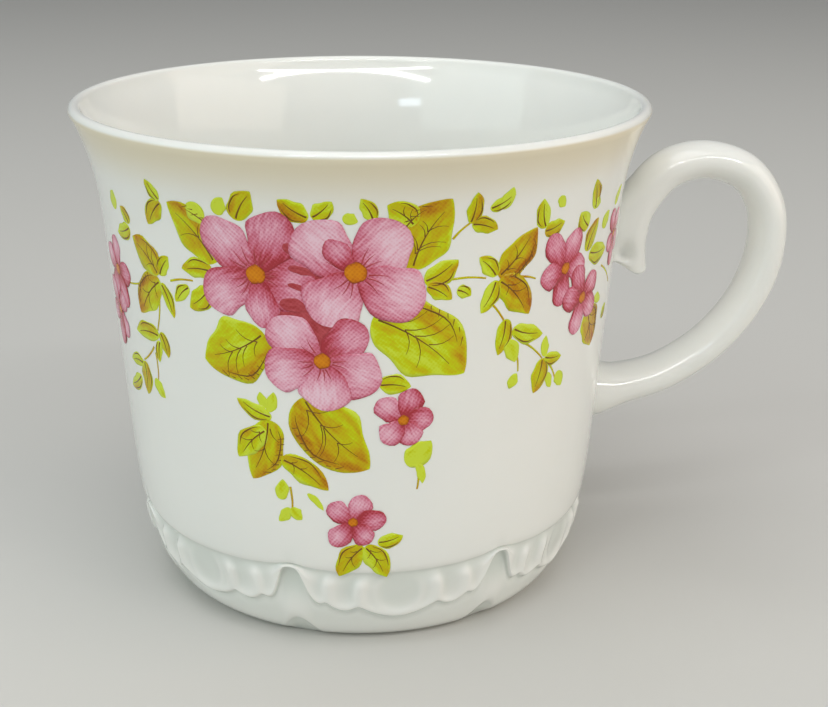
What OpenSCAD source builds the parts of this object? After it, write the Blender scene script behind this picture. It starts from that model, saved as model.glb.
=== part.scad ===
// Porcelain teacup: a cast body with a flared lip and a gadrooned base, an ear-shaped
// handle cast on its own and stuck on with slip, and two fired enamel garlands.
// +Z is up, the origin is on the cup's axis at table level, and the handle lies along +X.

/* [Cup] */
// Height from the table to the top of the lip
cup_h = 72; // [62:1:86]
// Outside diameter across the lip
rim_d = 83; // [78:1:100]
// Thickness of the rounded lip
lip_t = 1.8; // [1.2:0.1:2.6]
// Height of the flared zone under the lip
flare_h = 16; // [10:1:20]
// Outside diameter where the flare starts
wall_top_d = 75.3; // [70:0.1:77]
// Outside diameter where the wall turns in towards the base
waist_d = 70.2; // [64:0.1:75]
// Thickness of the wall
wall_t = 2.2; // [1.6:0.1:3]

/* [Base] */
// Height of the rounded base
base_h = 22; // [18:1:26]
// How far the round of the base reaches out past the foot
base_round_w = 5.2; // [3:0.1:6]
// Height at which the round of the base is fullest
base_round_h = 2.5; // [1.5:0.1:4]
// Outside diameter of the foot ring where it stands
foot_d = 55.6; // [48:0.1:58]
// Width of the foot ring's standing face
foot_w = 2.2; // [1.5:0.1:3]
// Depth of the hollow under the foot
foot_hollow = 2.4; // [1.5:0.1:3.2]
// Thickness of the floor above that hollow
floor_t = 3.2; // [2.4:0.1:4.5]

/* [Relief] */
// Number of shell panels round the base
panels = 7; // [4:1:8]
// Number of lobes in a panel
lobes = 7; // [5:2:9]
// Angle from the handle to the first post between two panels
post_turn = -4.6; // [-25:0.1:25]
// Height of the line where the plain wall ends and the panels begin
band_h = 12.5; // [11:0.5:14]
// Height of the line where the lobes end above the plain foot
lobe_low = 3; // [2.5:0.1:4]
// Depth of the lines and grooves of the relief
relief_t = 0.45; // [0.2:0.05:0.6]
// Width of the recess in the foot under each post
arch_w = 5.6; // [3:0.1:7]
// Height of that recess
arch_h = 1.4; // [0.8:0.1:2]

/* [Handle] */
// Reach of the handle's middle line from the wall
handle_reach = 23.8; // [20:0.1:30]
// Height of the top of the handle's middle line
handle_top = 62.6; // [58:0.1:70]
// Height at which the handle's lower end meets the wall
handle_low = 28; // [25:0.1:32]
// Thickness of the handle in its own plane
handle_t = 5.5; // [4:0.1:7]
// Width of the handle across that plane
handle_w = 8.4; // [6:0.1:10]
// Radius of the hollow under the thorn at the handle's upper end
thorn_r = 2.4; // [1.5:0.1:3]
// Thickness of the slip that joins the handle to the wall
slip_t = 0.4; // [0.3:0.05:0.6]
// How far the slip stands out round the end of the handle
slip_edge = 0.9; // [0.6:0.1:1.4]

/* [Garland] */
// Thickness of the fired enamel
enamel_t = 0.1; // [0.08:0.01:0.2]
// Radius of a large flower
bloom_r = 8.2; // [7:0.1:9]
// Radius of a small flower
bud_r = 4; // [3:0.1:4.5]
// Turn from the handle to the middle of the front garland
garland_turn = -90; // [-100:1:-80]

/* [Hidden] */
$fn = 120;
steps = 10;
rim_r = rim_d / 2;
wall_top_r = wall_top_d / 2;
waist_r = waist_d / 2;
foot_r = foot_d / 2;
flare_z = cup_h - flare_h;
lip_r = lip_t / 2;
lip_z = cup_h - lip_r;
floor_z = foot_hollow + floor_t;
wall_slope = (wall_top_r - waist_r) / (flare_z - base_h);
panel_angle = 360 / panels;

// Points of a quadratic or cubic curve through its control points
function blend(p, t) = len(p) == 1 ? p[0] :
    blend([for (i = [0:len(p) - 2]) p[i] * (1 - t) + p[i + 1] * t], t);
function curve(p, n = steps) = [for (i = [0:n]) blend(p, i / n)];

// Outside of the cup from the foot to the lip, as [radius, height]
base_curve = curve([[foot_r, 0],
                    [foot_r + base_round_w, base_round_h],
                    [waist_r - wall_slope * base_h * 0.45, base_h * 0.55],
                    [waist_r, base_h]], 2 * steps);
flare_curve = curve([[wall_top_r, flare_z],
                     [wall_top_r + wall_slope * flare_h * 0.56, cup_h - flare_h * 0.44],
                     [rim_r, lip_z]]);
outside = concat(base_curve, flare_curve);

// Inside of the cup from the lip to the middle of the floor
inside = concat(curve([[rim_r - lip_t, lip_z],
                       [wall_top_r - wall_t + wall_slope * flare_h * 0.56, cup_h - flare_h * 0.44],
                       [wall_top_r - wall_t, flare_z]]),
                curve([[waist_r - wall_t, base_h],
                       [waist_r - wall_t - wall_slope * base_h * 0.4, base_h * 0.6],
                       [waist_r - 2 * wall_t, floor_z],
                       [foot_r - 4 * wall_t, floor_z]], 2 * steps),
                [[0, floor_z]]);
lip = [for (i = [1:steps - 1]) [rim_r - lip_r + lip_r * cos(180 * i / steps),
                                lip_z + lip_r * sin(180 * i / steps)]];
hollow = concat([[0, foot_hollow]],
                curve([[foot_r - 2 * foot_w, foot_hollow],
                       [foot_r - foot_w - 0.4, foot_hollow],
                       [foot_r - foot_w, 0]], 4));

// Radius of the outside at a height
function outside_r(z) = lookup(z, [for (p = outside) [p[1], p[0]]]);

// The cup as if it were solid, grown outwards by a skin
module solid_cup(skin = 0) {
    grown = [for (p = outside) [p[0] + skin, p[1]]];
    rotate_extrude()
        polygon(concat([[0, 0]], grown, [[0, lip_z]]));
}

// Lines round the base above and below the lobes, each a round-bottomed cut
module relief_line(z) {
    cut_r = 1.2;
    rotate_extrude()
        translate([outside_r(z) + cut_r - relief_t, z])
            circle(r = cut_r, $fn = 24);
}

// Straight cuts that leave a row of round lobes between two posts
module lobe_grooves() {
    cut_r = 1.5;
    top_r = outside_r(band_h) + cut_r;
    low_r = outside_r(lobe_low) + cut_r;
    rise = band_h - lobe_low;
    lean = atan2(top_r - low_r, rise);
    sag = outside_r((band_h + lobe_low) / 2) + cut_r - (top_r + low_r) / 2;
    for (p = [0:panels - 1], k = [0:lobes - 1])
        rotate([0, 0, post_turn + (p + k / lobes) * panel_angle])
            translate([low_r + sag - relief_t, 0, lobe_low])
                rotate([0, lean, 0])
                    cylinder(r = cut_r, h = rise / cos(lean), $fn = 24);
}

// Shallow arched recesses in the foot, one under each post
module foot_arches() {
    arch_r = (arch_w * arch_w / 4 + arch_h * arch_h) / (2 * arch_h);
    for (p = [0:panels - 1])
        rotate([0, 0, post_turn + p * panel_angle])
            translate([foot_r - foot_w / 3, 0, arch_h - arch_r])
                rotate([0, 90, 0])
                    cylinder(r = arch_r, h = 2 * base_round_w, $fn = 48);
}

// Cast body: foot ring, rounded base with relief, wall, flare and rounded lip
module cup_body() {
    color("#EFEDE4")
        difference() {
            rotate_extrude()
                polygon(concat(hollow, outside, lip, inside));
            relief_line(band_h);
            relief_line(lobe_low);
            lobe_grooves();
            foot_arches();
        }
}

// Middle line of the handle from the tip of its thorn, over the top and down to the wall:
// share of the reach, share of the rise, and shares of the thickness and the width
ear = [[0.125, 0.517, 1.06, 0.72],
       [0.12, 0.66, 1.00, 1.00],
       [0.17, 0.81, 1.02, 1.10],
       [0.335, 0.952, 1.02, 1.08],
       [0.57, 1.00, 1.00, 1.03],
       [0.82, 0.95, 1.00, 1.00],
       [0.965, 0.82, 1.00, 1.00],
       [1.00, 0.66, 1.00, 1.00],
       [0.96, 0.49, 1.00, 1.00],
       [0.84, 0.32, 0.97, 1.00],
       [0.645, 0.165, 0.97, 1.00],
       [0.38, 0.045, 1.00, 1.02],
       [0.12, -0.01, 1.10, 1.08],
       [-0.04, -0.03, 1.48, 1.20],
       [-0.20, -0.04, 1.60, 1.25]];
ear_parts = 4;
ear_sides = 20;

// One length of a smooth line through points a, b, c and d, from b at t = 0 to c at t = 1
function pass(a, b, c, d, t) = b + (c - a) * t / 2
    + (a * 2 - b * 5 + c * 4 - d) * t * t / 2
    + (b * 3 - a - c * 3 + d) * t * t * t / 2;
function ear_at(i) = ear[max(0, min(len(ear) - 1, i))];
ear_line = [for (k = [0:(len(ear) - 1) * ear_parts])
    let (i = floor(k / ear_parts), t = k / ear_parts - i)
        pass(ear_at(i - 1), ear_at(i), ear_at(i + 1), ear_at(i + 2), t)];
handle_rise = handle_top - handle_low;
root_r = outside_r((handle_top + handle_low) / 2);
function ear_point(p) = [root_r + handle_reach * p[0], handle_low + handle_rise * p[1]];

// Rings of the handle's oval section, square to the middle line
ear_rings = [for (k = [0:len(ear_line) - 1])
    let (here = ear_point(ear_line[k]),
         back = ear_point(ear_line[max(0, k - 1)]),
         ahead = ear_point(ear_line[min(len(ear_line) - 1, k + 1)]),
         way = (ahead - back) / norm(ahead - back),
         out = [-way[1], way[0]],
         half_t = handle_t / 2 * ear_line[k][2],
         half_w = handle_w / 2 * ear_line[k][3])
        [for (j = [0:ear_sides - 1])
            let (a = 360 * j / ear_sides,
                 c = here + out * half_t * sign(cos(a)) * pow(abs(cos(a)), 0.85))
                [c[0], half_w * sign(sin(a)) * pow(abs(sin(a)), 0.85), c[1]]]];

// A closed skin over a row of rings
module swept(rings) {
    n = len(rings[0]);
    last = len(rings) - 1;
    polyhedron(points = [for (r = rings, p = r) p],
               faces = concat(
                   [[for (j = [0:n - 1]) n - 1 - j]],
                   [for (i = [0:last - 1], j = [0:n - 1])
                       [i * n + j, i * n + (j + 1) % n, (i + 1) * n + (j + 1) % n]],
                   [for (i = [0:last - 1], j = [0:n - 1])
                       [i * n + j, (i + 1) * n + (j + 1) % n, (i + 1) * n + j]],
                   [[for (j = [0:n - 1]) last * n + j]]));
}

// Round hollow between the thorn's tip and the wall
module thorn_hollow() {
    tip = ear_point(ear[0]);
    translate([tip[0] - thorn_r * 0.55, handle_w, tip[1] - thorn_r * 0.72])
        rotate([90, 0, 0])
            cylinder(r = thorn_r, h = 2 * handle_w);
}

// Ear-shaped handle, cut to the wall less the thickness of the slip
module handle() {
    color("#F2F1EA")
        difference() {
            swept(ear_rings);
            solid_cup(slip_t);
            thorn_hollow();
        }
}

// Flat outline with round corners
module rounded(w, h) {
    corner = 0.45 * min(w, h);
    union() {
        square([w, h - 2 * corner], center = true);
        square([w - 2 * corner, h], center = true);
        for (x = [-1, 1], y = [-1, 1])
            translate([x * (w / 2 - corner), y * (h / 2 - corner)])
                circle(r = corner, $fn = 48);
    }
}

// A pad of slip on the wall between two heights, a little wider than the handle
module slip_pad(low, high) {
    intersection() {
        difference() {
            solid_cup(slip_t);
            solid_cup();
        }
        translate([0, 0, (low + high) / 2])
            rotate([90, 0, 90])
                linear_extrude(height = rim_d)
                    rounded(handle_w + 2 * slip_edge, high - low + 2 * slip_edge);
    }
}

// Slip under the broad upper end of the handle, from its thorn to its shoulder
module upper_slip_joint() {
    color("#E9E7DD")
        slip_pad(handle_low + handle_rise * ear[0][1] + handle_t * 0.25,
                 handle_low + handle_rise * ear[2][1] + handle_t * 0.5);
}

// Slip under the lower end of the handle
module lower_slip_joint() {
    color("#E9E7DD")
        slip_pad(handle_low - handle_t * 0.95, handle_low + handle_t * 0.65);
}

// Large and small flowers: turn from the garland's middle, drop below the lip, first petal
blooms = [[-21, 16.5, 10], [-1, 15.5, 40], [-8, 28, 15]];
buds = [[8, 36, 20], [-2.5, 51, 5], [45.5, 18.5, 20], [53.5, 24, 5], [-64.5, 21.5, 20],
        [-67.5, 27.5, 50], [68, 17, 0]];
// Leaves: turn and drop of the stalk end, turn and drop of the tip, width
leaves = [[2, 22.5, 19.5, 29.5, 8.5], [-13, 33.5, 1, 43, 8], [-20.5, 25, -34, 30, 7.5],
          [-31, 15.5, -39.5, 9, 5.5], [10, 14.5, 16, 6.5, 5.5], [-20, 36.5, -25, 45.5, 5],
          [-17.5, 42.5, -8, 46, 3.6], [-0.5, 55, -5.5, 59, 3.4], [0.5, 55, 5, 59, 3.4],
          [3, 54.3, 8.5, 53.2, 2.2], [11, 39, 12, 44, 4], [3, 31, 9.5, 31.5, 2.6],
          [12, 17, 18.5, 14.5, 2.8], [-24, 9, -20.5, 6, 2.8], [-31, 17, -38, 17.5, 2.6],
          [-32, 20, -37, 22.5, 2.8], [-19.5, 36, -27, 34.5, 2.2], [27.5, 17.5, 35.5, 12, 4],
          [27.5, 18, 35, 23, 4], [27, 17, 23, 14.5, 2.4], [26.5, 18.5, 24, 22, 2.4],
          [30, 24.3, 28, 28.5, 2.4], [32, 25.3, 40, 27, 2.6], [41, 30.5, 39, 35, 3],
          [41.5, 31, 47, 31.5, 2], [38, 12, 36.3, 8, 2.2], [20.3, 10, 20.8, 6, 1.9],
          [20.5, 10, 26, 11, 2], [57, 26, 60.5, 32, 5], [54.5, 17.8, 62.5, 18, 3],
          [-45.5, 19.2, -53.5, 15, 4], [-45, 20.3, -54, 25.8, 4.4],
          [-48, 28, -57.5, 28.8, 2.8], [-56, 33.5, -56, 38, 3], [-54.5, 13.5, -61, 15.3, 2.4],
          [-41.5, 9, -46.5, 12.3, 2.6], [-59, 36.5, -66, 38.7, 2.2]];
leaf_r = (wall_top_r + waist_r) / 2;

// Flat outline of a flower with five round petals
module flower(r, first) {
    union() {
        circle(r = r * 0.3);
        for (k = [0:4])
            rotate([0, 0, first + 72 * k])
                translate([r * 0.58, 0])
                    circle(r = r * 0.42);
    }
}

// Flat outline of a leaf between two arcs, from the origin along +X
module leaf(long, wide) {
    arc_r = (long * long + wide * wide) / (4 * wide);
    translate([long / 2, 0])
        intersection_for (side = [-1, 1])
            translate([0, side * (arc_r - wide / 2)])
                circle(r = arc_r, $fn = 48);
}

// An outline pushed through the wall at a turn and a drop below the lip
module on_wall(turn, drop) {
    rotate([0, 0, turn])
        translate([waist_r / 2, 0, cup_h - drop])
            rotate([90, 0, 90])
                linear_extrude(height = rim_d)
                    children();
}

// Fired enamel flowers and leaves that lie on the wall
module garland(turn) {
    intersection() {
        difference() {
            solid_cup(enamel_t);
            solid_cup();
        }
        rotate([0, 0, turn]) {
            for (f = blooms)
                on_wall(f[0], f[1])
                    flower(bloom_r, f[2]);
            for (f = buds)
                on_wall(f[0], f[1])
                    flower(bud_r, f[2]);
            for (l = leaves)
                let (run = (l[2] - l[0]) * PI / 180 * leaf_r, fall = l[1] - l[3])
                    on_wall(l[0], l[1])
                        rotate([0, 0, atan2(fall, run)])
                            leaf(norm([run, fall]), l[4]);
        }
    }
}

module front_garland() {
    color("#D8849B")
        garland(garland_turn);
}

module back_garland() {
    color("#D8849B")
        garland(garland_turn + 180);
}

cup_body();
handle();
upper_slip_joint();
lower_slip_joint();
front_garland();
back_garland();
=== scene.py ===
import bisect
import math
import bmesh
import bpy
from mathutils import Matrix, Vector


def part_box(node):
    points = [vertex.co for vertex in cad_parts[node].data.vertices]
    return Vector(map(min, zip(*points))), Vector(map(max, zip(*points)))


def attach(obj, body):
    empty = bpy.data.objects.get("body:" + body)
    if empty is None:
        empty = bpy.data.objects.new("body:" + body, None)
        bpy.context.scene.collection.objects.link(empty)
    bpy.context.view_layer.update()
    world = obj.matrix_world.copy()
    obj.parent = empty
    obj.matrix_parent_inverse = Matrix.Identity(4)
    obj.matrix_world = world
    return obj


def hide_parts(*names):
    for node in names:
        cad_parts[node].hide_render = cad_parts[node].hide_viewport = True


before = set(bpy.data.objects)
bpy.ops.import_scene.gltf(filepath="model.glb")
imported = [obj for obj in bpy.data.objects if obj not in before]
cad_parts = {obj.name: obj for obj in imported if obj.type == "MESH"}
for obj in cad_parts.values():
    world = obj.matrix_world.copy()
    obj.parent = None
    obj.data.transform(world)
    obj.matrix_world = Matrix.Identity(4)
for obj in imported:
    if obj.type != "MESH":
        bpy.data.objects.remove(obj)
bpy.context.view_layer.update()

# ---- Camera ----
# The eye stands a little above the rim, so that the mouth shows as a flat oval, and looks
# slightly down and to the handle's side of the cup.
mm = 0.001
cup_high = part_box("cup_body")[1]
lens = bpy.data.cameras.new("studio_lens")
lens.sensor_width = 36
lens.lens = 63.28
camera = bpy.data.objects.new("studio_camera", lens)
bpy.context.scene.collection.objects.link(camera)
bpy.context.scene.camera = camera
eye_back, eye_over_rim = 210.4, 34.5
pan, look_down, roll = (math.radians(a) for a in (-2.12, 19.38, 0.4))
eye = Vector((0, -eye_back * mm, cup_high[2] + eye_over_rim * mm))
camera.matrix_world = (Matrix.Translation(eye) @ Matrix.Rotation(pan, 4, "Z")
                       @ Matrix.Rotation(math.pi / 2 - look_down, 4, "X")
                       @ Matrix.Rotation(roll, 4, "Z"))


# ---- Cup body ----
# Hard white porcelain, slip cast in a plaster mould that gives it seven shell panels round the
# base. It is dipped in clear glaze and fired standing on its foot ring.
def curve(points, steps):
    """Points of a quadratic or cubic curve through its control points."""
    line = []
    for i in range(steps + 1):
        level = [Vector(p) for p in points]
        while len(level) > 1:
            level = [a.lerp(b, i / steps) for a, b in zip(level, level[1:])]
        line.append(level[0])
    return line


def smooth_step(low, high, x):
    """0 below low, 1 above high, with a soft turn at both."""
    t = min(1, max(0, (x - low) / (high - low)))
    return t * t * (3 - 2 * t)


cup_h = cup_high[2] / mm
rim_r = cup_high[0] / mm
lip_t = 1.8
flare_z, flare_h = 56, 16
wall_top_r, waist_r, wall_t = 37.65, 35.1, 2.2
base_h, floor_z = 22, 5.6
foot_r, foot_w, foot_hollow = 27.8, 2.2, 2.4
lip_r = lip_t / 2
lip_z = cup_h - lip_r
slope = (wall_top_r - waist_r) / (flare_z - base_h)
# Where the flare starts to turn outwards: how much wider, and how high
turn_out, turn_z = slope * flare_h * 0.56, cup_h - flare_h * 0.44

base_curve = curve([(foot_r, 0), (foot_r + 5.2, 2.5),
                    (waist_r - slope * base_h * 0.45, base_h * 0.55), (waist_r, base_h)], 80)
flare_curve = curve([(wall_top_r, flare_z), (wall_top_r + turn_out, turn_z), (rim_r, lip_z)], 14)
outline = base_curve + flare_curve
outline_heights = [p.y for p in outline]


def wall_r(z):
    """Radius of the plain outside at a height, in millimetres."""
    k = min(max(bisect.bisect(outline_heights, z), 1), len(outline) - 1)
    a, b = outline[k - 1], outline[k]
    return a.x + (b.x - a.x) * min(1, max(0, (z - a.y) / (b.y - a.y)))


# Each panel hangs between two posts, where the plain wall runs down to the foot. A turn is an
# angle from the panel's middle, in degrees, and heights and depths are in millimetres.
panels = 7
post_turn = -4.6
panel_angle = 360 / panels
mm_per_degree = 0.61
# Lobes of half a panel from its middle outwards: middle, half width, lowest height, rise, side end
lobes = [(0, 9.8, 4.8, 2.3, 9.8), (13.2, 3.9, 6.1, 1.3, 17.3), (19.2, 2.7, 7.1, 2.3, 22.8)]
rim_rise, rim_w, dish_depth, dish_w, overlap_w = 0.38, 0.9, 0.65, 2.1, 1.1
oval_turn, oval_h, oval_z, oval_rise, oval_swell = 5.6, 3.6, 9.2, 0.22, 0.12
foot_recess, crease_depth, dent_depth, post_depth = 0.25, 0.45, 0.6, 0.8
panel_top, top_rise, top_half, top_step = 12.7, 0.9, 25.7, 0.58
arch_h, arch_low, arch_half = 4, 0.6, 7
# Rows of the plain mesh that move to the arch, the lobes' edge and the panel's top, and the
# height that the relief ends below
line_arch, line_edge, line_top, line_end = 2, 7, 13, 17


def top_line(turn):
    """Height where the plain wall ends above a panel, highest at the posts."""
    return panel_top + top_rise * (abs(turn) / top_half) ** 3


def lobe_edge(turn):
    """Height of the scalloped lower edge of a panel."""
    low = min(z + rise * ((abs(turn) - mid) / half) ** 2 for mid, half, z, rise, end in lobes)
    return min(low, top_line(turn) - 0.35)


def arch_line(turn):
    """Height of the crease over the dent that the foot has under each post."""
    return arch_h - (arch_h - arch_low) * smooth_step(0, arch_half, panel_angle / 2 - abs(turn))


def foot_relief(turn, z, edge):
    """The plain foot under the lobes, with a swelling and a dent under each post."""
    from_post = panel_angle / 2 - abs(turn)
    post = 1 - smooth_step(1.5, 5.5, from_post)
    dent = dent_depth * (1 - smooth_step(1, 6, from_post)) if z < arch_line(turn) else 0
    crease = crease_depth * math.exp(-((edge - z) / 0.75) ** 2) * smooth_step(1, 5, from_post)
    under_lobe = foot_recess * smooth_step(1.0, 5.0, z)
    under_post = post_depth * smooth_step(5.5, 11.5, z)
    return -under_lobe * (1 - post) - under_post * post - crease - dent


def relief(turn, z):
    """How far the moulded surface stands out from the plain outline, in millimetres."""
    top, edge, x = top_line(turn), lobe_edge(turn), abs(turn)
    if z > top:
        notch = 1 - smooth_step(0.3, 2.2, panel_angle / 2 - x)
        return -0.12 * notch * (1 - smooth_step(top, line_end, z))
    if z < edge:
        return foot_relief(turn, z, edge)
    share = (z - edge) / (top - edge)
    # The sides of the lobes bow, so a lobe is widest a little under its middle
    bow = 1.5 * (2 * share - 0.8) ** 2
    ends = [end - bow for *_, end in lobes] + [panel_angle]
    k = next(k for k, end in enumerate(ends) if x < end)
    last = len(lobes) - 1
    to_side, to_edge = max(0.01, (ends[min(k, last)] - x) * mm_per_degree), max(0.01, z - edge)
    to_rim = (to_side ** -2 + to_edge ** -2) ** -0.5
    rise = rim_rise * (1 - 0.6 * smooth_step(16, 23, x))
    dish = (rise * math.exp(-(to_rim / rim_w) ** 2)
            - dish_depth * (1 - math.exp(-(to_rim / dish_w) ** 2)))
    if k > 0:
        dish += (rise - dish) * (1 - smooth_step(0, overlap_w, (x - ends[k - 1]) * mm_per_degree))
    oval = math.hypot(x / oval_turn, (z - oval_z) / oval_h)
    dish += oval_rise * math.exp(-((oval - 1) / 0.16) ** 2) + oval_swell * max(0, 1 - oval)
    fade = smooth_step(0.6, 1, share)
    return dish * (1 - fade) - top_step * fade


def row_height(turn, z):
    """Moves a row of the mesh so that one row follows each line of the relief."""
    marks = [0, line_arch, line_edge, line_top, line_end]
    places = [0, arch_line(turn), lobe_edge(turn), top_line(turn), line_end]
    for a, b, c, d in zip(marks, marks[1:], places, places[1:]):
        if z <= b:
            return c + (d - c) * (z - a) / (b - a)
    return z


def spaced(low, high, count):
    return [low + (high - low) * i / count for i in range(count + 1)]


row_gap = 0.1
rows = (spaced(0, line_arch - row_gap, 6) + spaced(line_arch + row_gap, line_edge - row_gap, 18)
        + spaced(line_edge + row_gap, line_top - row_gap, 26)
        + spaced(line_top + row_gap, line_end, 8) + spaced(19, base_h, 3)
        + spaced(26, flare_z - 3, 8))
lip = [(rim_r - lip_r + lip_r * math.cos(math.pi * i / 8),
        lip_z + lip_r * math.sin(math.pi * i / 8)) for i in range(1, 8)]
inside = (curve([(rim_r - lip_t, lip_z), (wall_top_r - wall_t + turn_out, turn_z),
                 (wall_top_r - wall_t, flare_z)], 10)
          + curve([(wall_top_r - wall_t, flare_z - 4), (waist_r - wall_t, base_h + 4)], 5)
          + curve([(waist_r - wall_t, base_h), (waist_r - wall_t - slope * base_h * 0.4, 13.2),
                   (waist_r - 2 * wall_t, floor_z), (foot_r - 4 * wall_t, floor_z)], 14)
          + curve([(14, floor_z), (0, floor_z)], 4))
hollow = (curve([(0, foot_hollow), (foot_r - 2 * foot_w - 1, foot_hollow)], 4)
          + curve([(foot_r - 2 * foot_w, foot_hollow), (foot_r - foot_w - 0.4, foot_hollow),
                   (foot_r - foot_w, 0)], 6))
profile = ([tuple(p) for p in hollow] + [(wall_r(z), z) for z in rows]
           + [tuple(p) for p in flare_curve] + lip + [tuple(p) for p in inside])

columns = panels * 92
relief_passes = 5
bm = bmesh.new()
ring = [bm.verts.new((r * mm, 0, z * mm)) for r, z in profile]
edges = [bm.edges.new(pair) for pair in zip(ring, ring[1:])]
bmesh.ops.spin(bm, geom=ring + edges, axis=(0, 0, 1), cent=(0, 0, 0), angle=math.tau,
               steps=columns, use_merge=True)
bmesh.ops.remove_doubles(bm, verts=bm.verts, dist=1e-6)
# How far the glaze takes the pooled tone, from what depth, and the painted reflection under the lip
pooled_share, full_pool, lip_reflection_share = 0.75, 0.9, 0.8
pooled = bm.verts.layers.float.new("pooled")
thin = bm.verts.layers.float.new("thin")
for v in bm.verts:
    r, z = math.hypot(v.co.x, v.co.y) / mm, v.co.z / mm
    if r < wall_r(z) - 0.05 or z > lip_z:
        continue
    # Painted reflection: a cream band on the outside that grows towards the lip
    v[thin] = smooth_step(cup_h - 9, cup_h - 1.5, z) * lip_reflection_share
    if not 0 < z < line_end:
        continue
    turn = (math.degrees(math.atan2(v.co.y, v.co.x)) - post_turn) % panel_angle - panel_angle / 2
    height = row_height(turn, z)
    stand = relief(turn, height)
    scale = (wall_r(height) + stand) / r
    v.co = Vector((v.co.x * scale, v.co.y * scale, height * mm))
    v[pooled] = min(1, max(0, -stand / full_pool)) * pooled_share
moulded = [v for v in bm.verts if v[pooled] > 0 or 0.3 < v.co.z / mm < 15
           and math.hypot(v.co.x, v.co.y) / mm > wall_r(v.co.z / mm) - 0.05]
for _ in range(relief_passes):
    bmesh.ops.smooth_vert(bm, verts=moulded, factor=0.5,
                          use_axis_x=True, use_axis_y=True, use_axis_z=True)


def smooth_shell(bm):
    """Turns the faces of a closed shell outwards and shades them smooth."""
    bmesh.ops.recalc_face_normals(bm, faces=bm.faces)
    for face in bm.faces:
        face.smooth = True


def finish_mesh(bm, name, materials):
    """Turns a bmesh into a named piece with its materials."""
    mesh = bpy.data.meshes.new(name)
    bm.to_mesh(mesh)
    bm.free()
    piece = bpy.data.objects.new(name, mesh)
    bpy.context.scene.collection.objects.link(piece)
    for material in materials:
        mesh.materials.append(material)
    return piece


def colour(code):
    """A linear RGBA colour from an sRGB hex code."""
    parts = [int(code[i:i + 2], 16) / 255 for i in (1, 3, 5)]
    return [c / 12.92 if c < 0.04045 else ((c + 0.055) / 1.055) ** 2.4 for c in parts] + [1]


def add_node(material, kind, settings=None, inputs=None):
    """Adds a node. An input takes a value or the output that feeds it, and a ramp its stops."""
    node = material.node_tree.nodes.new(kind)
    for key, value in (settings or {}).items():
        if key == "stops":
            while len(node.color_ramp.elements) < len(value):
                node.color_ramp.elements.new(0.5)
            for element, (place, code) in zip(node.color_ramp.elements, value):
                element.position, element.color = place, colour(code)
        else:
            setattr(node, key, value)
    for key, value in (inputs or {}).items():
        if isinstance(value, bpy.types.NodeSocket):
            material.node_tree.links.new(value, node.inputs[key])
        else:
            node.inputs[key].default_value = value
    return node


# Clear feldspar glaze over white porcelain: a cool white with a wet gloss and a few soft
# undulations, grey-green where the glaze pools in the relief, and a painted reflection of the
# room as a cream band just under the lip.
def glazed_porcelain(name, ripple_mm):
    material = bpy.data.materials.new(name)
    material.use_nodes = True
    shader = material.node_tree.nodes["Principled BSDF"]
    place = add_node(material, "ShaderNodeTexCoord").outputs["Object"]
    clouds = add_node(material, "ShaderNodeTexNoise", {},
                      {"Vector": place, "Scale": 1 / (18 * mm), "Detail": 2.0})
    body = add_node(material, "ShaderNodeMix", {"data_type": "RGBA"},
                    {0: clouds.outputs["Fac"], 6: colour("#F3F3EE"), 7: colour("#ECEEEA")})
    deep = add_node(material, "ShaderNodeAttribute", {"attribute_name": "pooled"})
    pool = add_node(material, "ShaderNodeMix", {"data_type": "RGBA"},
                    {0: deep.outputs["Fac"], 6: body.outputs[2], 7: colour("#C9D2CA")})
    # The painted reflection under the lip is mixed into the colour here as a cream band
    lip_reflection_band = add_node(material, "ShaderNodeAttribute", {"attribute_name": "thin"})
    edge = add_node(material, "ShaderNodeMix", {"data_type": "RGBA"},
                    {0: lip_reflection_band.outputs["Fac"], 6: pool.outputs[2], 7: colour("#E2D6B6")})
    ripple = add_node(material, "ShaderNodeTexNoise", {},
                      {"Vector": place, "Scale": 1 / (ripple_mm * mm), "Detail": 1.0})
    bump = add_node(material, "ShaderNodeBump", {},
                    {"Height": ripple.outputs["Fac"], "Strength": 0.08, "Distance": 0.15 * mm})
    material.node_tree.links.new(edge.outputs[2], shader.inputs["Base Color"])
    material.node_tree.links.new(bump.outputs[0], shader.inputs["Normal"])
    shader.inputs["Roughness"].default_value = 0.07
    shader.inputs["IOR"].default_value = 1.5
    shader.inputs["Subsurface Weight"].default_value = 0.12
    shader.inputs["Subsurface Radius"].default_value = (1.0, 0.9, 0.8)
    shader.inputs["Subsurface Scale"].default_value = 1.2 * mm
    return material


cup_glaze = glazed_porcelain("clear_glazed_cast_porcelain", 5)
smooth_shell(bm)
cup = finish_mesh(bm, "cup", [cup_glaze])
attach(cup, "root")
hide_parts("cup_body")

# ---- Handle ----
# The same porcelain, cast in a two-part mould of its own, so that its oval section has a soft
# ridge along both sides. Its upper end runs down into a hooked thorn.
handle_reach, handle_low, handle_rise = 23.8, 28, 34.6
handle_half_t, handle_half_w = 2.75, 4.2
root_r = wall_r(handle_low + handle_rise / 2)
# Middle line: shares of the reach and of the rise, then of the thickness and of the width
ear = [(0.125, 0.517, 1.06, 0.72), (0.12, 0.66, 1.00, 1.00), (0.17, 0.81, 1.02, 1.10),
       (0.335, 0.952, 1.02, 1.08), (0.57, 1.00, 1.00, 1.03), (0.82, 0.95, 1.00, 1.00),
       (0.965, 0.82, 1.00, 1.00), (1.00, 0.66, 1.00, 1.00), (0.96, 0.49, 1.00, 1.00),
       (0.84, 0.32, 0.97, 1.00), (0.645, 0.165, 0.97, 1.00), (0.38, 0.045, 1.00, 1.02),
       (0.12, -0.01, 1.10, 1.08), (-0.04, -0.03, 1.48, 1.20), (-0.20, -0.04, 1.60, 1.25)]


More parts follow.
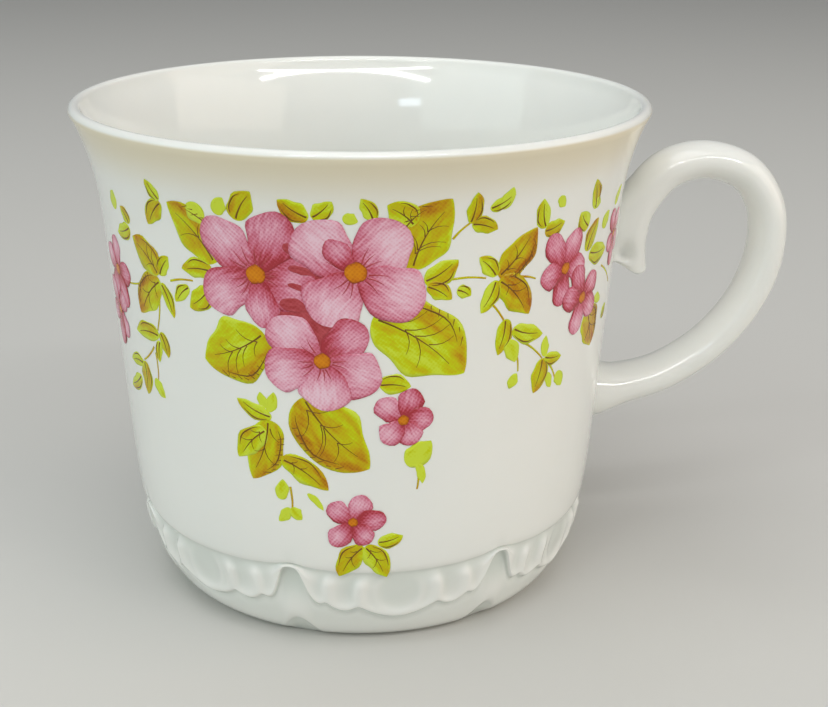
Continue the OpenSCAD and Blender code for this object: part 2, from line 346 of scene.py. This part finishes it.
def along_ear(t):
    """A smooth line through the points of the ear, from 0 to the number of spans."""
    i = min(int(t), len(ear) - 2)
    a, b, c, d = (Vector(ear[min(max(k, 0), len(ear) - 1)]) for k in range(i - 1, i + 3))
    t -= i
    return (b + (c - a) * t / 2 + (a * 2 - b * 5 + c * 4 - d) * t * t / 2
            + (b * 3 - a - c * 3 + d) * t * t * t / 2)


def ear_point(share):
    return Vector((root_r + handle_reach * share[0], handle_low + handle_rise * share[1]))


ear_sides, span_rings = 48, 14
# Rings of the section: place along the ear, share of the full section, and how far the ring
# is drawn back past the end, so that the thorn ends round
rings = [(0, 0.5, 0.62), (0, 0.78, 0.5), (0, 0.93, 0.28)]
rings += [(k / span_rings, 1, 0) for k in range((len(ear) - 1) * span_rings + 1)]
# Along the upper root, the half of the section on the wall's side is drawn out flat to the
# wall, and the web between wall and thorn ends higher than the thorn
root_from, root_to, web_lift = 1.3, 2.5, 2.3


def next_ring(bm, edges):
    """Extrudes a ring of edges in place, and gives the new vertices and edges."""
    made = bmesh.ops.extrude_edge_only(bm, edges=edges)["geom"]
    return ([g for g in made if isinstance(g, bmesh.types.BMVert)],
            [g for g in made if isinstance(g, bmesh.types.BMEdge)])


bm = bmesh.new()
loop = bmesh.ops.create_circle(bm, segments=ear_sides, radius=mm, cap_ends=True)["verts"]
loop_edges = bm.edges[:]
for k, (t, share_size, back) in enumerate(rings):
    share = along_ear(t)
    way = (ear_point(along_ear(min(t + 0.05, len(ear) - 1)))
           - ear_point(along_ear(max(t - 0.05, 0)))).normalized()
    out = Vector((-way.y, way.x))
    here = ear_point(share) - way * back
    if k > 0:
        loop, loop_edges = next_ring(bm, loop_edges)
    for j, v in enumerate(loop):
        a = math.tau * j / ear_sides
        inner = math.cos(a) > 0
        root = 1 - smooth_step(root_from, root_to, t) if inner else 0
        reach = handle_half_t * share[2] * share_size * math.copysign(
            abs(math.cos(a)) ** (0.85 if inner else 1.1), math.cos(a)) * (1 + 0.5 * root)
        lift = web_lift * max(0, 1 - t) ** 2 * smooth_step(-0.7, 1, reach / handle_half_t)
        c = here + out * reach + way * lift
        side = handle_half_w * share[3] * share_size * math.copysign(
            abs(math.sin(a)) ** (1 - 0.7 * root), math.sin(a))
        v.co = Vector((c.x, side, c.y)) * mm
bmesh.ops.contextual_create(bm, geom=loop_edges)
# The scoop that thins the web beside the thorn, sharp below and soft above, and the end that
# sits in the wall
scoop_x, scoop_z, scoop_w, scoop_share, sunk = root_r + 1.9, handle_low + 20.6, 1.3, 0.44, 1.0
for v in bm.verts:
    x, y, z = v.co / mm
    scoop_h = 0.8 if z < scoop_z else 2.0
    near = math.exp(-((x - scoop_x) / scoop_w) ** 2 - ((z - scoop_z) / scoop_h) ** 2)
    y *= 1 - scoop_share * near
    r = math.hypot(x, y)
    if r < wall_r(z) - sunk:
        x *= (wall_r(z) - sunk) / r
    v.co = Vector((x, y, z)) * mm
smooth_shell(bm)
handle_glaze = glazed_porcelain("clear_glazed_handle_porcelain", 4)
ear_handle = finish_mesh(bm, "ear_handle", [handle_glaze])
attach(ear_handle, "root")
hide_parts("handle")

# ---- Slip joints ----
# Liquid porcelain that sticks both ends of the handle to the leather-hard wall. It is wiped
# to a small round fillet with a wet sponge before the glaze goes on.
slip_glaze = glazed_porcelain("clear_glazed_sponged_slip", 3)


def slip_fillet(name, node, low, high, half_w, over, under, rise, taper):
    """A hollow-sided collar on the wall round one end of the handle, from low to high.

    over and under are how wide its fillet is above and below the end, rise is how high it
    climbs at the sides, and taper is how much its lower half narrows.
    """
    tucked, sunk_edge = 0.5, 0.12
    bm = bmesh.new()
    rings, sides = 8, 64
    middle, half_h = (low + high) / 2, (high - low) / 2
    bmesh.ops.create_circle(bm, segments=sides, radius=mm, cap_ends=True)
    loop, loop_edges = bm.verts[:], bm.edges[:]
    for k in range(rings + 1):
        a = math.pi / 2 * k / rings
        if k > 0:
            loop, loop_edges = next_ring(bm, loop_edges)
        for j, v in enumerate(loop):
            c, s = math.cos(math.tau * j / sides), math.sin(math.tau * j / sides)
            fillet = under + (over - under) * (1 + s) / 2
            spread = fillet * (1 - math.cos(a)) - tucked
            lift = (rise * abs(c) + fillet * (1 - abs(c))) * (1 - math.sin(a)) - sunk_edge
            narrow = 1 - taper * max(0, -s) ** 1.5
            y = (half_w * narrow + spread) * math.copysign(abs(c) ** 0.9, c)
            z = middle + (half_h + spread) * math.copysign(abs(s) ** 0.9, s)
            r = wall_r(z) + lift
            v.co = Vector((math.sqrt(r * r - y * y), y, z)) * mm
    bmesh.ops.contextual_create(bm, geom=loop_edges)
    smooth_shell(bm)
    collar = finish_mesh(bm, name, [slip_glaze])
    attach(collar, "root")
    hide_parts(node)


slip_fillet("upper_slip_fillet", "upper_slip_joint", 47.6, 58.4, 4.4, 1.4, 0.9, 1.2, 0.32)
slip_fillet("lower_slip_fillet", "lower_slip_joint", 23.5, 31.0, 4.5, 0.8, 3.5, 1.2, 0)

# ---- Garlands ----
# Two screen-printed enamel transfers, one on each side of the cup. Each slides wet on to the
# glaze and is fired again, so every petal and leaf is a thin glossy skin with printed dots.
mm_per_turn = 0.64
skin = 0.014
# The screen sets 24 dots to the centimetre
dot_mm = 0.42
screen_angle = math.radians(40)
# How far each printed shape stands off the glaze, in the order of printing
stem_lift, leaf_lift, leaf_step, ink_lift = 0.018, 0.02, 0.003, 0.042
blossom_lift, blossom_step, petal_step = 0.05, 0.02, 0.004
# Shapes wider than this have a finer mesh and more of the fine drawing
large_w = 4.5


def printed_enamel(name, stops, streak_mm, streak, dots, roughness):
    """A fired enamel. Its shade is the printed shape's own, broken up by brush streaks and dots."""
    material = bpy.data.materials.new(name)
    material.use_nodes = True
    shader = material.node_tree.nodes["Principled BSDF"]
    shape = add_node(material, "ShaderNodeAttribute", {"attribute_name": "shade"})
    span = add_node(material, "ShaderNodeUVMap", {"uv_map": "span"})
    along = add_node(material, "ShaderNodeMapping", {}, {
        "Vector": span.outputs[0], "Scale": (1 / streak_mm[0], 1 / streak_mm[1], 1)})
    brush = add_node(material, "ShaderNodeTexNoise", {"noise_dimensions": "2D"}, {
        "Vector": along.outputs[0], "Scale": 1.0, "Detail": 3.0, "Roughness": 0.6})
    sheet = add_node(material, "ShaderNodeUVMap", {"uv_map": "sheet"})
    turned = add_node(material, "ShaderNodeMapping", {}, {
        "Vector": sheet.outputs[0], "Rotation": (0, 0, screen_angle)})
    screen = add_node(material, "ShaderNodeTexVoronoi", {"voronoi_dimensions": "2D"}, {
        "Vector": turned.outputs[0], "Scale": 1 / dot_mm, "Randomness": 0.15})
    level = add_node(material, "ShaderNodeMath", {"operation": "ADD"}, {
        0: shape.outputs["Fac"], 1: 0.4 * dots - 0.5 * streak})
    brushed = add_node(material, "ShaderNodeMath", {"operation": "MULTIPLY_ADD"}, {
        0: brush.outputs["Fac"], 1: streak, 2: level.outputs[0]})
    dotted = add_node(material, "ShaderNodeMath", {"operation": "MULTIPLY_ADD"}, {
        0: screen.outputs["Distance"], 1: -dots, 2: brushed.outputs[0]})
    ink = add_node(material, "ShaderNodeValToRGB", {"stops": stops}, {"Fac": dotted.outputs[0]})
    material.node_tree.links.new(ink.outputs["Color"], shader.inputs["Base Color"])
    shader.inputs["Roughness"].default_value = roughness
    shader.inputs["IOR"].default_value = 1.5
    shader.inputs["Specular IOR Level"].default_value = 0.25
    return material


# Petals: pale mauve pink to rose, in fine streaks. Leaves: yellow green shaded with ochre.
# Brown for the fine drawing, orange for the eyes and deep rose for the throats and gaps.
PETAL, LEAF, LINE, EYE, DEEP = range(5)
enamels = [
    printed_enamel("rose_petal_screen_enamel", [
        (0, "#F0CBD9"), (0.3, "#E6A7BB"), (0.6, "#D2758D"), (0.85, "#C04C5E"), (1, "#A8353E")],
        (2.2, 0.4), 0.75, 0.42, 0.14),
    printed_enamel("yellow_green_leaf_screen_enamel", [
        (0, "#CFE03C"), (0.22, "#C6D200"), (0.55, "#C6B000"), (0.8, "#BE8A00"), (1, "#A86000")],
        (4.0, 1.5), 1.25, 0.25, 0.16),
    printed_enamel("brown_line_screen_enamel", [(0.2, "#8A5A12"), (0.8, "#644410")],
                   (1.2, 0.4), 0.8, 0.3, 0.2),
    printed_enamel("orange_eye_screen_enamel", [(0.1, "#DE9210"), (0.5, "#CC7408"), (0.9, "#9C4410")],
                   (0.8, 0.6), 0.35, 0.45, 0.16),
    printed_enamel("deep_rose_screen_enamel", [(0.2, "#C4565E"), (0.8, "#9C2E31")],
                   (1.6, 0.5), 0.9, 0.3, 0.16)]


def sheet_point(turn, drop):
    """A place on the flat transfer, in millimetres, from its turn and its drop below the lip."""
    return Vector((turn * mm_per_turn, -drop))


def print_patch(garland, line, half_width, cells, lift, enamel, shade):
    """One printed shape along a line on the flat transfer, wrapped on to the wall."""
    bm, side = garland
    made = bmesh.ops.create_grid(bm, x_segments=cells[0], y_segments=cells[1], size=0.5)["verts"]
    sheet_uv, span_uv = (bm.loops.layers.uv[n] for n in ("sheet", "span"))
    length = sum((b - a).length for a, b in zip(line, line[1:]))
    told = {}
    for v in made:
        u, w = (1 - math.cos(math.pi * min(1, max(0, v.co.x + 0.5)))) / 2, v.co.y * 2
        k = min(int(u * (len(line) - 1)), len(line) - 2)
        here = line[k].lerp(line[k + 1], u * (len(line) - 1) - k)
        way = (line[min(k + 2, len(line) - 1)] - line[max(k - 1, 0)]).normalized()
        half = half_width(u)
        uneven = 1 + 0.07 * math.sin(11 * u + 2 * w + 3 * line[0].x)
        place = here + Vector((-way.y, way.x)) * half * w * uneven
        told[v] = (place, (u * length + line[0].x * 9, half * w + line[0].y * 5))
        angle = math.radians(place.x / mm_per_turn + side)
        r = wall_r(cup_h + place.y) + lift
        v.co = Vector((r * math.cos(angle), r * math.sin(angle), cup_h + place.y)) * mm
        v[bm.verts.layers.float["shade"]] = shade(u, w, min(half * (1 - abs(w)), length * (1 - u)))
    for face in {f for v in made for f in v.link_faces}:
        face.material_index = enamel
        face.smooth = True
        for corner in face.loops:
            corner[sheet_uv].uv, corner[span_uv].uv = told[corner.vert]


def even(u, w, edge):
    """The shade of a shape that is printed in one flat tone."""
    return 0.5


def petal_half(width, wave):
    """Half width along a round petal with a narrow throat."""
    return lambda u: (width / 2 * max(0.02, math.sin(math.pi * min(1, max(0, u)) ** 1.3)) ** 0.5
                      * (1 + 0.05 * math.sin(9 * u + wave)))


def petal_shade(tone, flank):
    """Pale past the middle, rose at the throat, at the rim and on the flank by the next petal."""
    return lambda u, w, edge: (tone + 0.02 + 0.5 * (1 - u) ** 2.4 + 0.2 * math.exp(-edge / 0.3)
                               + 0.14 * flank * w
                               - 0.3 * math.exp(-((u - 0.64) / 0.24) ** 2 - (w / 0.65) ** 2))


def leaf_half(width, wave):
    """Half width along a pointed leaf with a slightly wavy edge."""
    return lambda u: (width / 2 * (1 + 0.04 * math.sin(13 * u + wave))
                      * max(0.01, math.sin(math.pi * min(1, max(0, u)) ** 0.85)) ** (0.5 + 0.25 * u))


def leaf_shade(tone, flank):
    """Green round the rim, ochre inside along one flank and towards the tip."""
    return lambda u, w, edge: (tone + 0.36 * smooth_step(0, 0.8, flank * w)
                               + 0.2 * smooth_step(0.55, 1, u) - 0.5 * math.exp(-edge / 0.35))


def bent(a, b, bend, steps=16):
    """A line from a to b that bows to its left by a share of its length."""
    across = Vector((-(b - a).y, (b - a).x)) * bend
    return curve([a, (a + b) / 2 + across * 2, b], steps)


def disc(garland, middle, radius, lift, enamel, shade):
    """A round spot of one enamel."""
    print_patch(garland, [middle - Vector((radius, 0)), middle, middle + Vector((radius, 0))],
                lambda u: max(0.05, radius * math.sqrt(max(0, 1 - (2 * u - 1) ** 2))), (14, 10),
                lift, enamel, shade)


def blossom(garland, centre, petals, eye_r, lift, reach_share):
    """Petals round an eye. Each petal is the turn and drop of its middle, its width and tone."""
    middle = sheet_point(*centre)
    disc(garland, middle, eye_r * 2.1, lift - 0.006, DEEP, even)
    for k, (turn, drop, width, tone) in enumerate(petals):
        reach = (sheet_point(turn, drop) - middle) * reach_share
        large = width > large_w
        print_patch(garland, bent(middle + reach * 0.04, middle + reach, 0.03 * (-1) ** k),
                    petal_half(width, k * 2.1), (18, 14) if large else (10, 8),
                    lift + petal_step * k, PETAL, petal_shade(tone, (-1) ** k))
        for shift in (-0.13, 0.02, 0.15) if large else ():
            way = Vector((-reach.y, reach.x)) * shift
            near, far = middle + reach * 0.16 + way * 0.3, middle + reach * 0.4 + way
            print_patch(garland, bent(near, far, 0.05, 6), lambda u: 0.11 * (1 - u) + 0.02, (6, 1),
                        lift + petal_step * k + 0.002, DEEP, even)
    disc(garland, middle, eye_r, lift + petal_step * len(petals) + petal_step, EYE,
         lambda u, w, edge: 0.25 + 0.7 * math.exp(-edge / 0.3))


def leaf(garland, spec, order):
    """A leaf with its brown midrib, side veins and a broken outline."""
    turn, drop, tip_turn, tip_drop, width, kind = spec
    a, b = sheet_point(turn, drop), sheet_point(tip_turn, tip_drop)
    bend, side = 0.06 * (-1) ** order, (-1) ** order
    line, outline = bent(a, b, bend), leaf_half(width, order)
    tone = {"pale": 0.0, "green": 0.2, "ochre": 0.42, "gold": 0.58}[kind]
    print_patch(garland, line, outline, (26, 14) if width > large_w else (14, 6),
                leaf_lift + leaf_step * (order % 6), LEAF,
                leaf_shade(tone + 0.03 * (order % 3), side if kind != "pale" else 0))
    if kind == "pale":
        return
    length = (b - a).length
    ahead = (b - a).normalized()
    across = Vector((-ahead.y, ahead.x))
    print_patch(garland, bent(a.lerp(b, 0.05), a.lerp(b, 0.82), bend),
                lambda u: 0.09 * (1 - u) + 0.03, (10, 1), ink_lift, LINE, even)
    inset = bent(a + ahead * length * 0.1, a + ahead * length * 0.76, bend)
    print_patch(garland, [p + across * side * outline(0.1 + 0.66 * i / 16) * 0.86
                          for i, p in enumerate(inset)],
                lambda u: 0.08 * math.sin(math.pi * u) + 0.02, (12, 1), ink_lift, LINE, even)
    if width < 3.4:
        return
    for k in range(8 if width > large_w else 0):
        share = 0.18 + 0.085 * k
        out = side * outline(share) + bend * length
        start = line[0].lerp(line[-1], share) + across * out * 0.94
        end = start + ahead * 0.5 - across * side * (0.8 + 0.4 * math.sin(3 * k))
        print_patch(garland, [start, end], lambda u: 0.045 * (1 - u) + 0.02, (3, 1),
                    ink_lift, LINE, even)
    veins = 4 if width > 6 else 2
    for k in range(veins):
        share = 0.16 + 0.5 * k / veins + 0.04 * math.sin(5 * order + 3 * k)
        start = a.lerp(b, share) + across * bend * length * 0.9
        for way in (-1, 1) if (k + order) % 3 else (side,):
            out = outline(share + 0.12) * (0.62 + 0.2 * math.sin(7 * k + 2 * order + way))
            end = start + ahead * out * 0.8 + across * way * out
            print_patch(garland, bent(start, end, -0.14 * way, 6), lambda u: 0.05 * (1 - u) + 0.022,
                        (6, 1), ink_lift + 0.002, LINE, even)


# Blossoms: turn and drop of the eye, the petals and the eye's radius. The petals of a small
# blossom share one width, which comes before the radius.
large_blossoms = [
    ((-20.8, 16.6), [(-14.0, 17.2, 9.0, 0.62), (-17.6, 11.6, 6.4, 0.6), (-26.6, 12.6, 6.2, 0.38),
                     (-27.4, 19.4, 6.4, 0.42), (-20.2, 20.8, 4.4, 0.5)], 1.3),
    ((-1.3, 15.7), [(-7.4, 12.2, 7.6, 0.28), (-5.4, 19.8, 7.8, 0.3), (4.3, 12.3, 7.6, 0.26),
                    (6.4, 18.4, 7.8, 0.34), (-4.4, 13.2, 3.2, 0.6)], 1.4),
    ((-8.1, 27.7), [(-3.0, 24.9, 5.4, 0.58), (-1.2, 29.4, 6.6, 0.4), (-14.0, 24.6, 6.4, 0.3),
                    (-14.9, 29.3, 6.4, 0.36), (-7.9, 31.8, 6.6, 0.24)], 1.1)]
small_blossoms = [
    ((8.2, 36.1), [(4.9, 34.2), (9.5, 33.3), (12.2, 36.2), (9.9, 38.3), (5.4, 38.0)], 3.5, 0.75),
    ((-2.4, 51), [(-5.6, 49.3), (-0.9, 48.4), (2.2, 50.8), (0, 53), (-5.6, 53.2)], 3.3, 0.7),
    ((45.5, 18.5), [(41.9, 15.2), (47.5, 15.2), (50.0, 19), (45, 21.8), (40.8, 19)], 3.7, 0.85),
    ((53.3, 23.8), [(51, 20.6), (56.9, 22), (57.2, 25.6), (52, 27), (48.5, 23.2)], 3.6, 0.85),
    ((-64.5, 21.3), [(-64, 18.2), (-60, 21.2), (-62.3, 24.5), (-67.5, 24), (-68.5, 19.6)], 3.4, 0.85),
    ((-67, 27.6), [(-64, 26), (-64.5, 29.8), (-68, 31), (-71, 28.4), (-69.6, 24.8)], 3.2, 0.7),
    ((69, 17), [(67, 14.6), (71.3, 15), (72, 18.6), (69, 20), (66, 18)], 2.9, 0.6)]
# Deep rose between the blossoms: both ends, width and lift
shadows = [(-17, 17.6, -3, 16.6, 7.0, 0.046), (-16, 20.2, -4.6, 27.4, 6.8, 0.046),
           (-15.0, 12.4, -10.6, 14.4, 1.6, 0.062), (-14.2, 15.4, -9.0, 16.2, 1.1, 0.062),
           (-14.4, 17.6, -10.4, 18.4, 0.8, 0.062), (-16.2, 20.2, -10.4, 20.8, 1.9, 0.062)]
# Leaves: turn and drop of the stalk end and of the tip, width and kind
leaves = [
    (2, 21.6, 20.8, 30.2, 9.8, "green"), (-12.5, 33, 1.2, 43, 9.0, "ochre"),
    (-19.8, 24.6, -34.2, 29.4, 8.8, "green"), (-29.5, 15.8, -39.6, 8.6, 5.8, "ochre"),
    (9.2, 15.4, 16.2, 6.4, 6.8, "ochre"), (9.5, 9.6, 4.4, 6.9, 3.6, "green"),
    (-20, 36.7, -24.6, 45.7, 5.6, "ochre"), (-20.8, 38.2, -27.7, 42.8, 3.6, "green"),
    (-17.6, 42.1, -7.6, 46.3, 3.6, "ochre"), (-0.2, 54.8, -5.8, 59.6, 3.5, "ochre"),
    (0.2, 54.8, 5.1, 59.8, 3.5, "green"), (3, 54.2, 8.6, 53.3, 2.3, "green"),
    (3.2, 31, 9.6, 31.4, 2.9, "green"), (11.8, 17.2, 18.4, 14.6, 3.2, "green"),
    (12.3, 17.8, 17.4, 19.8, 2.4, "ochre"), (-9.2, 8.6, -5.4, 6.4, 2.4, "green"),
    (-9.8, 8.7, -15.2, 6.4, 2.8, "ochre"), (2, 8.9, -0.3, 6, 2, "green"),
    (-24, 9.6, -20.2, 5.6, 3.2, "ochre"), (-30.5, 17, -38.2, 17.4, 2.8, "green"),
    (-31.5, 19.4, -37, 22.6, 3.2, "green"), (-36.8, 19.8, -41, 22.3, 2, "green"),
    (-19.3, 36.3, -27, 34.2, 2.3, "green"), (-45.5, 19.2, -53.7, 15, 4.4, "ochre"),
    (-45.2, 19.2, -41.9, 16.3, 2.3, "green"), (-45.4, 20, -54.2, 25.8, 4.8, "ochre"),
    (-45, 20.3, -42, 24.8, 2, "green"), (-41.6, 8.9, -46.8, 12.4, 2.8, "ochre"),
    (-41.8, 8.6, -44.4, 6, 2, "green"), (-54.4, 13.4, -57.2, 11.3, 2, "ochre"),
    (-54.6, 14, -61, 15.4, 2.5, "green"), (-48, 28.2, -57.6, 28.9, 2.8, "green"),
    (-47.4, 27.6, -45.4, 31, 2, "ochre"), (-48, 29, -49, 32.2, 1.6, "green"),
    (-55.8, 33.2, -56, 38.2, 3, "ochre"), (-56.4, 33.6, -63.2, 34.2, 2, "green"),
    (-58.6, 36, -66.2, 38.8, 2.3, "green"), (27.4, 17.6, 35.7, 11.7, 4.6, "gold"),
    (27.6, 18, 35.6, 23.5, 4.4, "gold"), (26.8, 17.4, 22.8, 14.6, 2.4, "green"),
    (26.9, 18, 23.8, 22.2, 2.5, "green"), (20.3, 9.9, 21, 5.8, 2.1, "ochre"),
    (20.6, 10, 26.2, 11.1, 2.3, "ochre"), (24, 8.2, 29, 6.6, 1.8, "green"),
    (29.8, 23.6, 28.4, 28.5, 2.6, "ochre"), (31.8, 25.2, 40.2, 26.9, 2.8, "green"),
    (41, 30.6, 39, 35.4, 3.2, "ochre"), (41.6, 30.6, 47.3, 31.2, 2, "green"),
    (38, 12, 36.2, 7.9, 2.4, "green"), (37.9, 12.5, 43.4, 11.7, 2.4, "ochre"),
    (52.4, 13.6, 48.6, 11.2, 2.8, "green"), (54.2, 11.4, 51.6, 7, 2.2, "ochre"),
    (53, 17.2, 56.8, 13, 2.8, "ochre"), (54.4, 17.6, 63.2, 18.2, 3.2, "green"),
    (56.6, 26, 60.8, 32.2, 5.6, "gold"),
    (8.8, 42.4, 14.2, 39.4, 3.6, "pale"), (11.4, 42.6, 12.6, 45.6, 1.3, "pale"),
    (-18.6, 48.2, -17.6, 45.2, 2, "pale"), (-16.4, 49.4, -19, 51.6, 1.6, "pale"),
    (-15.8, 49.3, -13.6, 51, 1.8, "pale"), (-12.2, 47, -8.8, 49.4, 1, "pale"),
    (-20, 35.5, -18.6, 32.6, 1.6, "pale"), (-20.4, 35, -21.6, 32.8, 1.4, "pale"),
    (-3.4, 8.2, -0.8, 9, 1.6, "pale"), (-27.8, 9.2, -26, 6.8, 2, "pale"),
    (-33.8, 8, -31, 10.6, 2.8, "pale"), (-60.6, 12.2, -59.2, 9.4, 2, "pale"),
    (-51.6, 35, -48.4, 37.4, 2, "pale"), (18.4, 18.6, 21.4, 19.6, 1.8, "green"),
    (26.4, 8.4, 28.2, 5.6, 1.8, "pale"), (30.5, 26.8, 33, 30, 2.4, "pale"),
    (31.8, 32.2, 34.2, 33, 2.2, "pale"), (41.8, 30.4, 41.4, 27.4, 1.6, "pale"),
    (43.2, 33, 44.6, 35.4, 1.4, "pale"), (46, 33.6, 48.4, 35.8, 2, "pale"),
    (40.6, 8, 42.6, 9.6, 1.4, "pale"), (60, 15, 62.6, 12.8, 2.2, "pale"),
    (53.6, 10.2, 56, 10.8, 1.6, "pale"), (60, 25, 64, 26, 1.6, "pale"),
    (67, 29, 70.5, 27.6, 2, "green"), (66.5, 12.6, 69, 10, 2, "pale")]
# Stems: turn and drop of both ends
stems = [(-42, 19.6, -35.5, 18.8), (-50.5, 20.8, -58, 22.2), (-46, 21, -48.3, 27.5),
         (-50.5, 30.2, -55.8, 33), (-50.2, 31, -50.4, 35), (16.5, 17.2, 24.5, 17.5),
         (32, 18, 36.7, 18.8), (17, 11.8, 20.3, 9.8), (25.3, 20.6, 30.2, 24.8),
         (34, 27.2, 40.8, 30.6), (33, 28.5, 34, 31.5), (62, 20.6, 70.5, 24.4),
         (11.6, 44, 11.4, 46.4), (-16, 46.2, -16, 50.6), (43, 31.6, 46, 34.5)]


def make_garland(name, node, side):
    """One whole transfer, wrapped round the wall with its middle at a turn from the handle."""
    bm = bmesh.new()
    for layer in ("sheet", "span"):
        bm.loops.layers.uv.new(layer)
    bm.verts.layers.float.new("shade")
    garland = (bm, side)
    for order, spec in enumerate(leaves):
        leaf(garland, spec, order)
    for turn, drop, end_turn, end_drop in stems:
        print_patch(garland, bent(sheet_point(turn, drop), sheet_point(end_turn, end_drop), 0.05),
                    lambda u: 0.17 - 0.05 * u, (8, 1), stem_lift, LEAF, even)
    for turn, drop, end_turn, end_drop, width, lift in shadows:
        print_patch(garland, bent(sheet_point(turn, drop), sheet_point(end_turn, end_drop), 0.05),
                    leaf_half(width, 0), (12, 8), lift, DEEP, even)
    for k, (centre, petals, eye_r) in enumerate(large_blossoms):
        blossom(garland, centre, petals, eye_r, blossom_lift + blossom_step * k, 1.7)
    for k, (centre, places, width, eye_r) in enumerate(small_blossoms):
        petals = [(turn, drop, width, 0.42 + 0.08 * ((i * 3 + k) % 4))
                  for i, (turn, drop) in enumerate(places)]
        blossom(garland, centre, petals, eye_r, blossom_lift + blossom_step * (k % 2), 1.58)
    piece = finish_mesh(bm, name, enamels)
    film = piece.modifiers.new("fired_film", "SOLIDIFY")
    film.thickness, film.offset = skin * mm, -1
    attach(piece, "root")
    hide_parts(node)


make_garland("front_flower_transfer", "front_garland", -90)
make_garland("back_flower_transfer", "back_garland", 90)

# ---- Studio ----
# A pale paper floor under soft lights from above and from both sides. A long strip leaves the
# glints inside the lip and along the handle, and a small far window leaves a pale pane inside.
floor_bm = bmesh.new()
bmesh.ops.create_grid(floor_bm, x_segments=1, y_segments=1, size=3)
paper = bpy.data.materials.new("pale_paper_floor")
paper.use_nodes = True
paper.node_tree.nodes["Principled BSDF"].inputs["Base Color"].default_value = colour("#CFCECA")
paper.node_tree.nodes["Principled BSDF"].inputs["Roughness"].default_value = 0.9
floor = finish_mesh(floor_bm, "studio_floor", [paper])

world = bpy.data.worlds.new("studio_air")
bpy.context.scene.world = world
world.use_nodes = True
world.node_tree.nodes["Background"].inputs["Color"].default_value = colour("#E4E6E8")
world.node_tree.nodes["Background"].inputs["Strength"].default_value = 0.33
bpy.context.scene.view_settings.view_transform = "Standard"


def soft_light(name, place, aim, width, height, watts, tint):
    """A rectangular studio light that faces a point."""
    data = bpy.data.lights.new(name, "AREA")
    data.shape, data.size, data.size_y = "RECTANGLE", width, height
    data.energy, data.color = watts, colour(tint)[:3]
    light = bpy.data.objects.new(name, data)
    light.location = place
    light.rotation_euler = (Vector(aim) - Vector(place)).to_track_quat("-Z", "Y").to_euler()
    bpy.context.scene.collection.objects.link(light)
    return light


aim = (0, 0, cup_h / 2 * mm)
soft_light("top_softbox", (-0.1, -0.05, 0.8), aim, 0.7, 0.6, 2.5, "#FFFFFF")
soft_light("left_softbox", (-0.8, -0.5, 0.35), aim, 1.0, 1.0, 3.9, "#EAF8F4")
soft_light("right_fill", (0.85, -0.3, 0.25), aim, 1.0, 0.9, 4.3, "#FFF3E3")
soft_light("front_fill", (0.3, -1.1, 0.45), aim, 1.0, 0.8, 0.3, "#FFFFFF")
soft_light("strip_light", (0.1, -0.6, 0.75), aim, 1.2, 0.03, 2.0, "#FFFFFF")
# These two are seen only in the gloss, so that they don't flatten the soft shading
glints = [soft_light("strip_glint", (0.1, -0.61, 0.76), aim, 1.25, 0.05, 4.8, "#FFFFFF"),
          soft_light("left_window", (-0.46, -1.0, 0.56), aim, 0.2, 0.1, 0.5, "#DDEEFF")]
for light in glints:
    light.visible_diffuse = False
